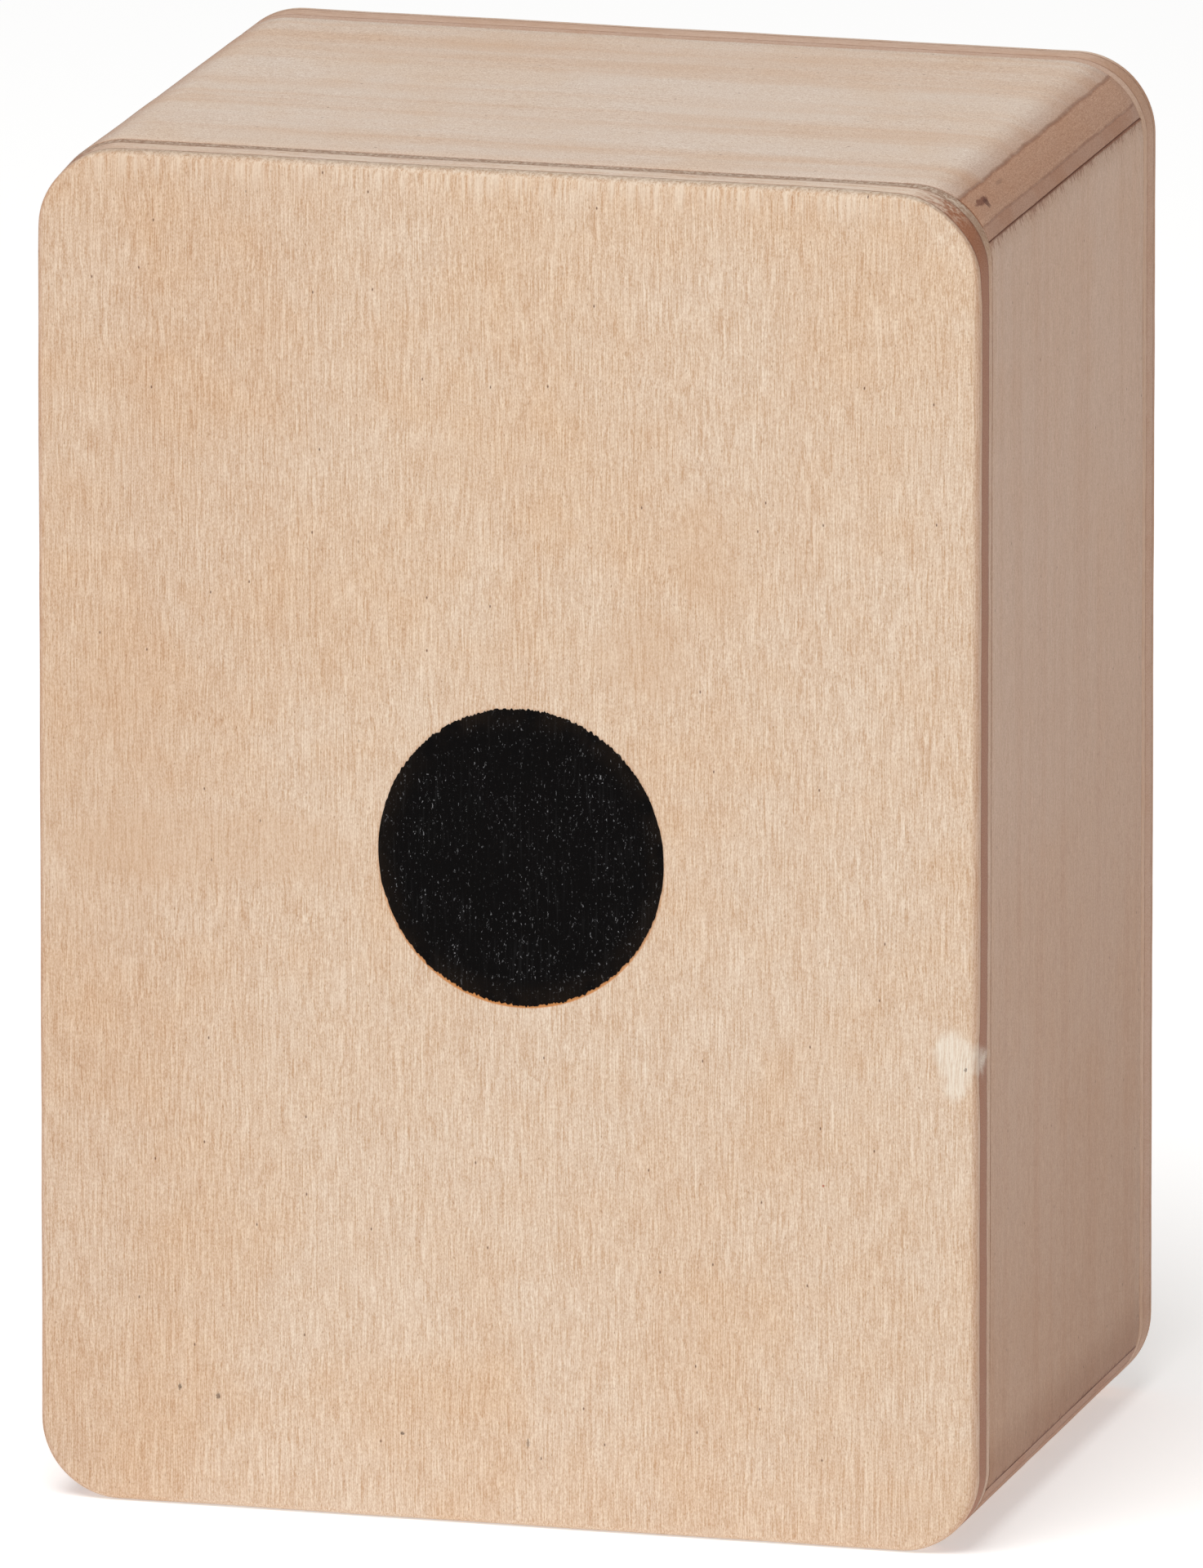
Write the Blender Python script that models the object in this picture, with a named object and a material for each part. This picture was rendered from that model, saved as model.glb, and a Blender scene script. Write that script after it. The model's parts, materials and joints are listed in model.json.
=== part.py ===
"""Miniature cajon shaker: six plywood panels glued into a sealed box with loose shot inside.

Units are metres, +Z is up. The box stands on the ground plane with its middle over the
origin, and its front, which carries the printed sound hole, faces -Y.
"""

import math
import random

import bmesh
import bpy
from mathutils import Vector

# Driving dimensions of the box
BOX_WIDTH = 0.070
BOX_DEPTH = 0.052
BOX_HEIGHT = 0.100
PLY_THICKNESS = 0.004
CORNER_RADIUS = 0.0058
ARRIS_RADIUS = 0.001
GLUE_GAP = 0.0003

# The printed disc, which stands in for ink, and its place on the front panel
PRINT_DIAMETER = 0.022
PRINT_THICKNESS = 0.0002
PRINT_FIT = 0.0003
PRINT_OFFSET_X = 0.0011
PRINT_OFFSET_Z = -0.0003

# Loose shot on the floor of the cavity
PELLET_DIAMETER = 0.004
PELLET_CLEARANCE = 0.0003
PELLET_COLUMNS = 8
PELLET_ROWS = 5
PELLET_SEED = 12

# Fineness of the meshes
CORNER_SEGMENTS = 10
ARRIS_SEGMENTS = 3
PRINT_SEGMENTS = 64
SMOOTH_ANGLE = math.radians(30.0)


def clear_scene():
    """Remove every object, so that the script always builds the same scene."""
    for old in list(bpy.data.objects):
        bpy.data.objects.remove(old, do_unlink=True)


def make_material(name, colour, roughness, metallic=0.0):
    """Return a Principled material with a plain colour."""
    material = bpy.data.materials.new(name)
    material.use_nodes = True
    shader = material.node_tree.nodes["Principled BSDF"]
    shader.inputs["Base Color"].default_value = (*colour, 1.0)
    shader.inputs["Roughness"].default_value = roughness
    shader.inputs["Metallic"].default_value = metallic
    return material


def add_object(name, bm, material, parent=None, location=(0.0, 0.0, 0.0)):
    """Turn a bmesh into a named object with one material, and link it to the scene."""
    bmesh.ops.recalc_face_normals(bm, faces=bm.faces)
    mesh = bpy.data.meshes.new(name)
    bm.to_mesh(mesh)
    bm.free()
    mesh.materials.append(material)
    obj = bpy.data.objects.new(name, mesh)
    bpy.context.scene.collection.objects.link(obj)
    obj.parent = parent
    obj.location = location
    return obj


def shade_round(mesh):
    """Shade a mesh smooth, with its real edges kept sharp."""
    mesh.shade_smooth()
    mesh.set_sharp_from_angle(angle=SMOOTH_ANGLE)


def box_outline():
    """Return the rounded outline of the box, seen from the front, as (x, z) points."""
    corners = (
        (BOX_WIDTH / 2 - CORNER_RADIUS, BOX_HEIGHT - CORNER_RADIUS),
        (-BOX_WIDTH / 2 + CORNER_RADIUS, BOX_HEIGHT - CORNER_RADIUS),
        (-BOX_WIDTH / 2 + CORNER_RADIUS, CORNER_RADIUS),
        (BOX_WIDTH / 2 - CORNER_RADIUS, CORNER_RADIUS),
    )
    points = []
    for quarter, (centre_x, centre_z) in enumerate(corners):
        for step in range(CORNER_SEGMENTS + 1):
            angle = math.radians(90.0) * (quarter + step / CORNER_SEGMENTS)
            x = centre_x + CORNER_RADIUS * math.cos(angle)
            z = centre_z + CORNER_RADIUS * math.sin(angle)
            points.append((x, z))
    return points


def rounded_block(front_y, back_y):
    """Return a bmesh of the box's outline, extruded from one depth to another."""
    bm = bmesh.new()
    outline = [bm.verts.new((x, front_y, z)) for x, z in box_outline()]
    face = bm.faces.new(outline)
    extruded = bmesh.ops.extrude_face_region(bm, geom=[face])
    moved = [item for item in extruded["geom"] if isinstance(item, bmesh.types.BMVert)]
    bmesh.ops.translate(bm, vec=(0.0, back_y - front_y, 0.0), verts=moved)
    return bm


def cut_away(bm, point, outward):
    """Cut the block with a plane and close it, removing the side that outward points to."""
    geometry = bm.verts[:] + bm.edges[:] + bm.faces[:]
    bmesh.ops.bisect_plane(bm, geom=geometry, plane_co=point, plane_no=outward, clear_outer=True)
    rim = [edge for edge in bm.edges if edge.is_boundary]
    bmesh.ops.edgeloop_fill(bm, edges=rim)


def ease_arris(bm, face_y):
    """Round the outline's edge on the face of the block that lies at face_y."""
    tolerance = GLUE_GAP / 10
    rim = []
    for edge in bm.edges:
        if all(abs(vert.co.y - face_y) < tolerance for vert in edge.verts):
            rim.append(edge)
    bmesh.ops.bevel(bm, geom=rim, offset=ARRIS_RADIUS, offset_type="OFFSET", affect="EDGES",
                    segments=ARRIS_SEGMENTS, profile=0.5, material=-1, clamp_overlap=True)


def add_print_recess(panel):
    """Sink a shallow round pocket for the printed disc into the front panel."""
    depth = PRINT_THICKNESS + PRINT_FIT
    bm = bmesh.new()
    bmesh.ops.create_cone(bm, cap_ends=True, segments=PRINT_SEGMENTS,
                          radius1=PRINT_DIAMETER / 2 + PRINT_FIT,
                          radius2=PRINT_DIAMETER / 2 + PRINT_FIT, depth=2 * depth)
    turn_to_front(bm)
    cutter = add_object("print_recess_cutter", bm, panel.data.materials[0], location=print_centre())
    cutter.hide_render = True
    cutter.display_type = "WIRE"
    boolean = panel.modifiers.new("print_recess", "BOOLEAN")
    boolean.operation = "DIFFERENCE"
    boolean.solver = "EXACT"
    boolean.object = cutter


def turn_to_front(bm):
    """Turn a shape that stands along Z so that it stands along Y."""
    turn = Vector((0.0, 0.0, 1.0)).rotation_difference(Vector((0.0, -1.0, 0.0))).to_matrix()
    bmesh.ops.transform(bm, matrix=turn.to_4x4(), verts=bm.verts)


def print_centre():
    """Return the middle of the printed disc, on the plane of the front face."""
    return (PRINT_OFFSET_X, -BOX_DEPTH / 2, BOX_HEIGHT / 2 + PRINT_OFFSET_Z)


def build_front_panel(material):
    """Build the striking plate, which covers the whole front of the box."""
    front_y = -BOX_DEPTH / 2
    bm = rounded_block(front_y, front_y + PLY_THICKNESS)
    ease_arris(bm, front_y)
    panel = add_object("front_panel", bm, material)
    shade_round(panel.data)
    add_print_recess(panel)


def build_back_panel(material):
    """Build the back, the mirror image of the front panel's outline."""
    back_y = BOX_DEPTH / 2
    bm = rounded_block(back_y - PLY_THICKNESS, back_y)
    ease_arris(bm, back_y)
    panel = add_object("back_panel", bm, material)
    shade_round(panel.data)


def frame_block():
    """Return the block that the four walls between front and back are cut from."""
    inner_y = BOX_DEPTH / 2 - PLY_THICKNESS - GLUE_GAP
    return rounded_block(-inner_y, inner_y)


def build_end_panels(material):
    """Build the top and bottom panels, which reach over the ends of the side panels."""
    bm = frame_block()
    cut_away(bm, (0.0, 0.0, BOX_HEIGHT - PLY_THICKNESS), (0.0, 0.0, -1.0))
    top = add_object("top_panel", bm, material)
    shade_round(top.data)
    bm = frame_block()
    cut_away(bm, (0.0, 0.0, PLY_THICKNESS), (0.0, 0.0, 1.0))
    bottom = add_object("bottom_panel", bm, material)
    shade_round(bottom.data)


def build_side_panels(material):
    """Build the two sides, which stand between the top and bottom panels."""
    top_z = BOX_HEIGHT - PLY_THICKNESS - GLUE_GAP
    bottom_z = PLY_THICKNESS + GLUE_GAP
    for name, side in (("left_panel", -1.0), ("right_panel", 1.0)):
        bm = frame_block()
        cut_away(bm, (0.0, 0.0, top_z), (0.0, 0.0, 1.0))
        cut_away(bm, (0.0, 0.0, bottom_z), (0.0, 0.0, -1.0))
        cut_away(bm, (side * (BOX_WIDTH / 2 - PLY_THICKNESS), 0.0, 0.0), (-side, 0.0, 0.0))
        panel = add_object(name, bm, material)
        shade_round(panel.data)


def build_print(material):
    """Build the printed sound hole as a thin disc, flush with the front face."""
    bm = bmesh.new()
    bmesh.ops.create_cone(bm, cap_ends=True, segments=PRINT_SEGMENTS, radius1=PRINT_DIAMETER / 2,
                          radius2=PRINT_DIAMETER / 2, depth=PRINT_THICKNESS)
    turn_to_front(bm)
    centre = Vector(print_centre()) + Vector((0.0, PRINT_THICKNESS / 2, 0.0))
    disc = add_object("sound_hole_print", bm, material, location=centre)
    shade_round(disc.data)


def pellet_places():
    """Return a loose scatter of pellet centres over the cavity floor, one to each grid cell."""
    wall = PLY_THICKNESS + GLUE_GAP + PELLET_CLEARANCE
    cell_x = (BOX_WIDTH - 2 * wall) / PELLET_COLUMNS
    cell_y = (BOX_DEPTH - 2 * wall) / PELLET_ROWS
    room_x = (cell_x - PELLET_DIAMETER - PELLET_CLEARANCE) / 2
    room_y = (cell_y - PELLET_DIAMETER - PELLET_CLEARANCE) / 2
    scatter = random.Random(PELLET_SEED)
    places = []
    for row in range(PELLET_ROWS):
        for column in range(PELLET_COLUMNS):
            x = (column + 0.5 - PELLET_COLUMNS / 2) * cell_x + scatter.uniform(-room_x, room_x)
            y = (row + 0.5 - PELLET_ROWS / 2) * cell_y + scatter.uniform(-room_y, room_y)
            places.append((x, y))
    return places


def build_pellets(material):
    """Build the loose shot. It moves along Z with the empty that carries it."""
    carrier = bpy.data.objects.new("fill_shake_axis", None)
    carrier.location = (0.0, 0.0, PLY_THICKNESS + PELLET_CLEARANCE + PELLET_DIAMETER / 2)
    bpy.context.scene.collection.objects.link(carrier)
    bm = bmesh.new()
    bmesh.ops.create_icosphere(bm, subdivisions=2, radius=PELLET_DIAMETER / 2)
    shared = None
    for index, (x, y) in enumerate(pellet_places(), start=1):
        name = f"pellet_{index:02d}"
        if shared is None:
            first = add_object(name, bm, material, parent=carrier, location=(x, y, 0.0))
            shared = first.data
            shared.shade_smooth()
        else:
            pellet = bpy.data.objects.new(name, shared)
            bpy.context.scene.collection.objects.link(pellet)
            pellet.parent = carrier
            pellet.location = (x, y, 0.0)


def main():
    """Build the whole shaker."""
    clear_scene()
    build_front_panel(make_material("birch_face", (0.76, 0.58, 0.41), 0.55))
    build_back_panel(make_material("birch_back", (0.72, 0.55, 0.39), 0.55))
    build_end_panels(make_material("birch_cross_grain", (0.66, 0.51, 0.40), 0.55))
    build_side_panels(make_material("birch_side", (0.60, 0.46, 0.35), 0.55))
    build_print(make_material("black_ink", (0.006, 0.006, 0.006), 0.6))
    build_pellets(make_material("steel_shot", (0.55, 0.56, 0.58), 0.3, metallic=1.0))


main()
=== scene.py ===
"""Looks of a miniature cajon shaker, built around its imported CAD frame.

The box is six boards of bare three-ply birch with a black print on the front and loose
steel shot inside. Sizes come from the frame's own boxes, and everything is in metres.
"""

import json
import logging
import math
from dataclasses import dataclass, field
from enum import Enum
from typing import Iterable, Sequence

import bmesh
import bpy
from mathutils import Matrix, Vector, noise


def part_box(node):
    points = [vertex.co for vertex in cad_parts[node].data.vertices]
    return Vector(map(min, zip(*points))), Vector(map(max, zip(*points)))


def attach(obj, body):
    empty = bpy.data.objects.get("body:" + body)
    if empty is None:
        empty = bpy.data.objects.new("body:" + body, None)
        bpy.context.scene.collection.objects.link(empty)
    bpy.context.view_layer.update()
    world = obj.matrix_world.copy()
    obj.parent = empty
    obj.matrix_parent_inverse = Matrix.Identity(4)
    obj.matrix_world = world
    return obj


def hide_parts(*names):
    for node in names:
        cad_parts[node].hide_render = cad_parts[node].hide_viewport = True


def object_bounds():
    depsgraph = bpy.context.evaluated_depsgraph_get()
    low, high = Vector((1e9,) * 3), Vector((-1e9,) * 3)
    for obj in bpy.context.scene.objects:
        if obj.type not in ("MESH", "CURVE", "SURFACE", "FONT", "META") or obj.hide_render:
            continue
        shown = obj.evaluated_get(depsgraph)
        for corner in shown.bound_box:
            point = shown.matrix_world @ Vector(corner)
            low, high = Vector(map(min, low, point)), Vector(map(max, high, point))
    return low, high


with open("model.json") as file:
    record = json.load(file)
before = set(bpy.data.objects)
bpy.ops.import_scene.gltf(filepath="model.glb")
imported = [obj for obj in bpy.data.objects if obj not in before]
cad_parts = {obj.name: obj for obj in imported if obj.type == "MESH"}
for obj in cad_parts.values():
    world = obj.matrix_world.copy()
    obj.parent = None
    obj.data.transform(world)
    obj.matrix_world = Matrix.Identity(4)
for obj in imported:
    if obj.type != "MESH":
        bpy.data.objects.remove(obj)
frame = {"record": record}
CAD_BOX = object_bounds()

LOG = logging.getLogger("cajon_shaker")
Colour = tuple[float, float, float]
Triple = tuple[float, float, float]
MM = 0.001
# How steeply a ply's fibres are cut across where its end grain starts to show, and where it's full.
END_CUT = (0.05, 0.65)
# How far one step of a board's seed moves its grain, in millimetres, and its unevenness.
SEED_STEP = (7.3, 3.1, 11.7)
SANDING_STEP = (3.7, 1.3, 5.9)


class Facing(Enum):
    """The way that a board's outer face looks."""

    FRONT = (0.0, -1.0, 0.0)
    BACK = (0.0, 1.0, 0.0)
    LEFT = (-1.0, 0.0, 0.0)
    RIGHT = (1.0, 0.0, 0.0)
    TOP = (0.0, 0.0, 1.0)
    BOTTOM = (0.0, 0.0, -1.0)


class Grain(Enum):
    """The way that a ply's fibres run."""

    ACROSS = (1.0, 0.0, 0.0)
    DEEP = (0.0, 1.0, 0.0)
    UPRIGHT = (0.0, 0.0, 1.0)


@dataclass(frozen=True)
class Pattern:
    """The settings of a noise.

    Attributes:
        scale: Features per millimetre.
        detail: Octaves of finer noise.
        roughness: Strength of the finer octaves.
        distortion: How far the pattern is warped.
        cut: The noise where an island's rim starts, and where it is full.
    """

    scale: float
    detail: float = 2.0
    roughness: float = 0.5
    distortion: float = 0.0
    cut: tuple[float, float] = (0.4, 0.6)


# The noises of the birch, the print and the shot.
PLY_WAVES = Pattern(0.3, 4.0, 0.55)
GRAIN_DRIFT = Pattern(0.16)
STREAKS = Pattern(7.5, 3.0, 0.75)
THREADS = Pattern(11.0, 2.0, 0.65)
NAP = Pattern(11.0, 2.0, 0.65)
TAN_PATCHES = Pattern(0.075, 3.0, 0.55, 0.4, cut=(0.38, 0.72))
RIPPLES = Pattern(0.33, cut=(0.4, 0.75))
TUFTS = Pattern(3.4, 3.0, 0.7)
GLUE_GAPS = Pattern(1.3, 3.0, 0.7, cut=(0.3, 0.62))
SEAM_WANDER = Pattern(2.0, 3.0, 0.7)
TORN_FIBRES = Pattern(4.0, 3.0, 0.75, cut=(0.42, 0.72))
INK_THREADS = Pattern(6.6, 2.0, 0.75, 0.6)
INK_LINES = Pattern(5.0, 2.0, 0.6)
INK_WEAR = Pattern(0.4, 3.0, cut=(0.3, 0.62))
STEEL_FILM = Pattern(0.9, 4.0, 0.6)
STEEL_SCUFFS = Pattern(6.0, 3.0, 0.7)


class Value:
    """A shader socket that carries a number and takes part in arithmetic."""

    def __init__(self, graph: "Graph", socket: bpy.types.NodeSocket) -> None:
        """Keep the socket and the graph that it belongs to."""
        self.graph = graph
        self.socket = socket

    def _with(self, operation: str, *others: "Value | float") -> "Value":
        """Add a Math node that starts from this value.

        Args:
            operation: The Math node's operation.
            others: The node's further operands, in order.

        Returns:
            The node's result.
        """
        return self.graph.maths(operation, self, *others)

    def __add__(self, other: "Value | float") -> "Value":
        """Return the sum."""
        return self._with("ADD", other)

    __radd__ = __add__

    def __sub__(self, other: "Value | float") -> "Value":
        """Return the difference."""
        return self._with("SUBTRACT", other)

    def __rsub__(self, other: "Value | float") -> "Value":
        """Return the difference from a number."""
        return self.graph.maths("SUBTRACT", other, self)

    def __mul__(self, other: "Value | float") -> "Value":
        """Return the product."""
        return self._with("MULTIPLY", other)

    __rmul__ = __mul__

    def __truediv__(self, other: "Value | float") -> "Value":
        """Return the quotient."""
        return self._with("DIVIDE", other)

    def __pow__(self, other: "Value | float") -> "Value":
        """Return the power."""
        return self._with("POWER", other)

    def __abs__(self) -> "Value":
        """Return the size without its sign."""
        return self._with("ABSOLUTE")

    def largest(self, other: "Value | float") -> "Value":
        """Return the larger of the two."""
        return self._with("MAXIMUM", other)

    def clamped(self) -> "Value":
        """Return the value held between 0 and 1."""
        return self._with("MAXIMUM", 0.0)._with("MINIMUM", 1.0)

    def step(self, low: float, high: float) -> "Value":
        """Return a smooth rise from 0 at low to 1 at high.

        Args:
            low: Where the rise starts. It may be above high for a fall.
            high: Where it ends.

        Returns:
            The risen value.
        """
        if low > high:
            return 1.0 - self.step(high, low)
        node = self.graph.node("ShaderNodeMapRange", {"interpolation_type": "SMOOTHSTEP"},
                               {"Value": self, "From Min": low, "From Max": high})
        return Value(self.graph, node.outputs["Result"])


class Graph:
    """A material's node tree, with one method for each kind of step that the finishes use."""

    def __init__(self, name: str) -> None:
        """Start a material of that name, which holds a Principled shader."""
        self.material = bpy.data.materials.new(name)
        self.material.use_nodes = True
        self.tree = self.material.node_tree
        self.shader = self.tree.nodes["Principled BSDF"]

    def node(self, kind: str, settings: dict | None = None, sockets: dict | None = None) -> bpy.types.Node:
        """Add a node.

        Args:
            kind: The node's type.
            settings: Properties to set before its sockets are filled.
            sockets: Socket name or place to a number, a vector, a Value or another socket.

        Returns:
            The new node.
        """
        made = self.tree.nodes.new(kind)
        for key, setting in (settings or {}).items():
            setattr(made, key, setting)
        for key, given in (sockets or {}).items():
            self.fill(made.inputs[key], given)
        return made

    def fill(self, socket: bpy.types.NodeSocket, given: object) -> None:
        """Link or set one input socket.

        Args:
            socket: The input.
            given: A Value or a socket to link, or a constant to set.
        """
        if isinstance(given, Value):
            self.tree.links.new(given.socket, socket)
        elif isinstance(given, bpy.types.NodeSocket):
            self.tree.links.new(given, socket)
        elif socket.type == "RGBA":
            socket.default_value = (*given, 1.0)
        else:
            socket.default_value = given

    def maths(self, operation: str, *operands: Value | float) -> Value:
        """Return the result of a Math node on those operands."""
        made = self.node("ShaderNodeMath", {"operation": operation}, dict(enumerate(operands)))
        return Value(self, made.outputs[0])

    def millimetres(self) -> bpy.types.NodeSocket:
        """Return the piece's own coordinates in millimetres."""
        place = self.node("ShaderNodeTexCoord").outputs["Object"]
        return self.vector("SCALE", place, Scale=1.0 / MM)

    def normal(self) -> bpy.types.NodeSocket:
        """Return the piece's own surface normal."""
        return self.node("ShaderNodeTexCoord").outputs["Normal"]

    def vector(self, operation: str, first: object, second: object = None,
               **named: float) -> bpy.types.NodeSocket:
        """Add a Vector Math node.

        Args:
            operation: The node's operation.
            first: Its first vector.
            second: Its second vector, if it takes one.
            named: Further sockets by name.

        Returns:
            The vector that it gives.
        """
        sockets: dict = {0: first}
        if second is not None:
            sockets[1] = second
        sockets.update(named)
        return self.node("ShaderNodeVectorMath", {"operation": operation}, sockets).outputs["Vector"]

    def along(self, place: bpy.types.NodeSocket, way: Triple) -> Value:
        """Return how far a place lies along a direction."""
        made = self.node("ShaderNodeVectorMath", {"operation": "DOT_PRODUCT"}, {0: place, 1: way})
        return Value(self, made.outputs["Value"])

    def joined(self, across: Value, along: Value) -> bpy.types.NodeSocket:
        """Return a flat vector made of two numbers."""
        return self.node("ShaderNodeCombineXYZ", None, {"X": across, "Y": along}).outputs[0]

    def blend_vectors(self, share: Value, first: object, second: object) -> bpy.types.NodeSocket:
        """Return a vector that goes from first to second as share goes from 0 to 1."""
        made = self.node("ShaderNodeMix", {"data_type": "VECTOR"}, {"Factor": share, 4: first, 5: second})
        return made.outputs[1]

    def blend(self, share: Value | float, first: object, second: object,
              how: str = "MIX") -> bpy.types.NodeSocket:
        """Mix two colours.

        Args:
            share: How much of the second colour shows.
            first: The colour underneath.
            second: The colour on top.
            how: The Mix node's blend type.

        Returns:
            The mixed colour.
        """
        settings = {"data_type": "RGBA", "blend_type": how}
        made = self.node("ShaderNodeMix", settings, {0: share, 6: first, 7: second})
        return made.outputs[2]

    def clouds(self, place: bpy.types.NodeSocket, pattern: Pattern) -> Value:
        """Return a noise that is read at a place, about 0.5 on average."""
        sockets = {"Vector": place, "Scale": pattern.scale, "Detail": pattern.detail,
                   "Roughness": pattern.roughness, "Distortion": pattern.distortion}
        return Value(self, self.node("ShaderNodeTexNoise", None, sockets).outputs[0])

    def islands(self, place: bpy.types.NodeSocket, pattern: Pattern) -> Value:
        """Return a mask that is 1 where a noise is high."""
        return self.clouds(place, pattern).step(*pattern.cut)

    def reach(self, across: Value, height: Value) -> Value:
        """Return how far a place is from a middle, from its distances along two axes."""
        return (across * across + height * height) ** 0.5

    def dots(self, place: bpy.types.NodeSocket, scale: float, radius: float, share: float) -> Value:
        """Scatter small round dots over a plane.

        Args:
            place: The flat place where it is read.
            scale: Cells per millimetre, each of which may hold one dot.
            radius: A dot's radius, in millimetres.
            share: The share of the cells that hold one.

        Returns:
            A mask that is 1 in the dots.
        """
        settings = {"voronoi_dimensions": "2D"}
        made = self.node("ShaderNodeTexVoronoi", settings, {"Vector": place, "Scale": scale})
        near = Value(self, made.outputs["Distance"]).step(radius * scale, radius * scale * 0.4)
        picked = self.node("ShaderNodeSeparateColor", None, {0: made.outputs["Color"]}).outputs[0]
        return near * Value(self, picked).step(1.0 - share, 1.0 - share + 0.01)

    def bumped(self, height: Value, distance: float, strength: float) -> None:
        """Shape the shader's normal by a height.

        Args:
            height: The height, about 0 to 1.
            distance: What a height of 1 stands for, in metres.
            strength: The bump's strength.
        """
        made = self.node("ShaderNodeBump", None,
                         {"Height": height, "Distance": distance, "Strength": strength})
        self.fill(self.shader.inputs["Normal"], made.outputs["Normal"])

    def finish(self, colour: object, roughness: Value | float, **constants: float) -> bpy.types.Material:
        """Fill the shader.

        Args:
            colour: The base colour.
            roughness: The roughness.
            constants: Further sockets by name, with underscores for spaces.

        Returns:
            The finished material.
        """
        self.fill(self.shader.inputs["Base Color"], colour)
        self.fill(self.shader.inputs["Roughness"], roughness)
        for key, given in constants.items():
            self.fill(self.shader.inputs[key.replace("_", " ")], given)
        return self.material


@dataclass(frozen=True)
class Board:
    """Where a three-ply board lies, which its finish needs to lay out plies and fibres.

    Attributes:
        facing: The way its outer face looks.
        face_at: How far the outer face is from the origin, along facing.
        grain: The way its face plies' fibres run.
        thickness: The board's thickness.
        face_ply: The thickness of each of its two face plies.
    """

    facing: Facing
    face_at: float
    grain: Grain
    thickness: float
    face_ply: float = 1.05 * MM

    @property
    def outer_ply(self) -> float:
        """Return the depth in millimetres where the outer ply ends."""
        return self.face_ply / MM

    @property
    def inner_ply(self) -> float:
        """Return the depth in millimetres where the inner ply starts."""
        return self.thickness / MM - self.face_ply / MM

    def core_grain(self) -> Triple:
        """Return the way that the core's fibres run, across those of the faces."""
        return tuple(abs(part) for part in Vector(self.facing.value).cross(Vector(self.grain.value)))


@dataclass(frozen=True)
class Mark:
    """A small blemish on a board's face.

    Attributes:
        across: Its place along the world's X.
        height: Its place along the world's Z, or Y on a board that lies flat.
        wide: Its half width.
        tall: Its half height.
        colour: Its colour.
        strength: How strongly it covers the wood.
        streaky: How far the fibres break it up, from 0 to 1.
    """

    across: float
    height: float
    wide: float
    tall: float
    colour: Colour
    strength: float = 0.8
    streaky: float = 0.3


@dataclass(frozen=True)
class Seam:
    """A glue joint that a board ends at, where glue and torn fibres darken it.

    Attributes:
        way: The direction in which the joint is approached.
        reach: Where the joint lies along that direction.
        width: How far the dark line reaches into the board.
        tear: How far torn fibres reach beyond it.
        strength: How dark the line is, from 0 to 1.
    """

    way: Triple
    reach: float
    width: float = 0.16 * MM
    tear: float = 0.0
    strength: float = 0.8


@dataclass(frozen=True)
class ToneAndPaintedShade:
    """A slow change of colour along a direction: the front's own wood tone, and painted shade on the right
    side and the bottom.

    Attributes:
        way: The direction.
        start: Where the change starts along it.
        end: Where it's complete.
        tint: What the wood's colour is multiplied by there.
    """

    way: Triple
    start: float
    end: float
    tint: Colour


@dataclass(frozen=True)
class Fibres:
    """The layers of a board's grain, each a noise of about 0.5 on average.

    Attributes:
        place: Coordinates squeezed along the fibres.
        streaks: Long fibre bundles.
        threads: Single fibres.
        fuzz: The short nap that sanding raises.
    """

    place: bpy.types.NodeSocket
    streaks: Value
    threads: Value
    fuzz: Value


@dataclass(frozen=True)
class Halo:
    """The thin orange ring around the print, strongest below it.

    Attributes:
        across: The print's middle along X.
        height: The print's middle along Z.
        radius: The print's radius.
        narrow: The print's width, as a share of its height.
        colour: The ring's colour.
    """

    across: float
    height: float
    radius: float
    narrow: float
    colour: Colour = (0.62, 0.25, 0.07)

    def tinted(self, graph: Graph, colour: bpy.types.NodeSocket,
               place: bpy.types.NodeSocket) -> bpy.types.NodeSocket:
        """Tint the wood around the print, most of all below it.

        Args:
            graph: The material's graph.
            colour: The wood's colour.
            place: The board's coordinates, in mm.

        Returns:
            The tinted colour.
        """
        across = (graph.along(place, Grain.ACROSS.value) - self.across / MM) / self.narrow
        height = graph.along(place, Grain.UPRIGHT.value) - self.height / MM
        reach = graph.reach(across, height) - self.radius / MM
        below = (height * -1.0).step(-2.0, self.radius / MM)
        ring = reach.step(0.2, 0.08) * (below * 0.85 + 0.12)
        return graph.blend(ring, colour, self.colour)


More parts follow.
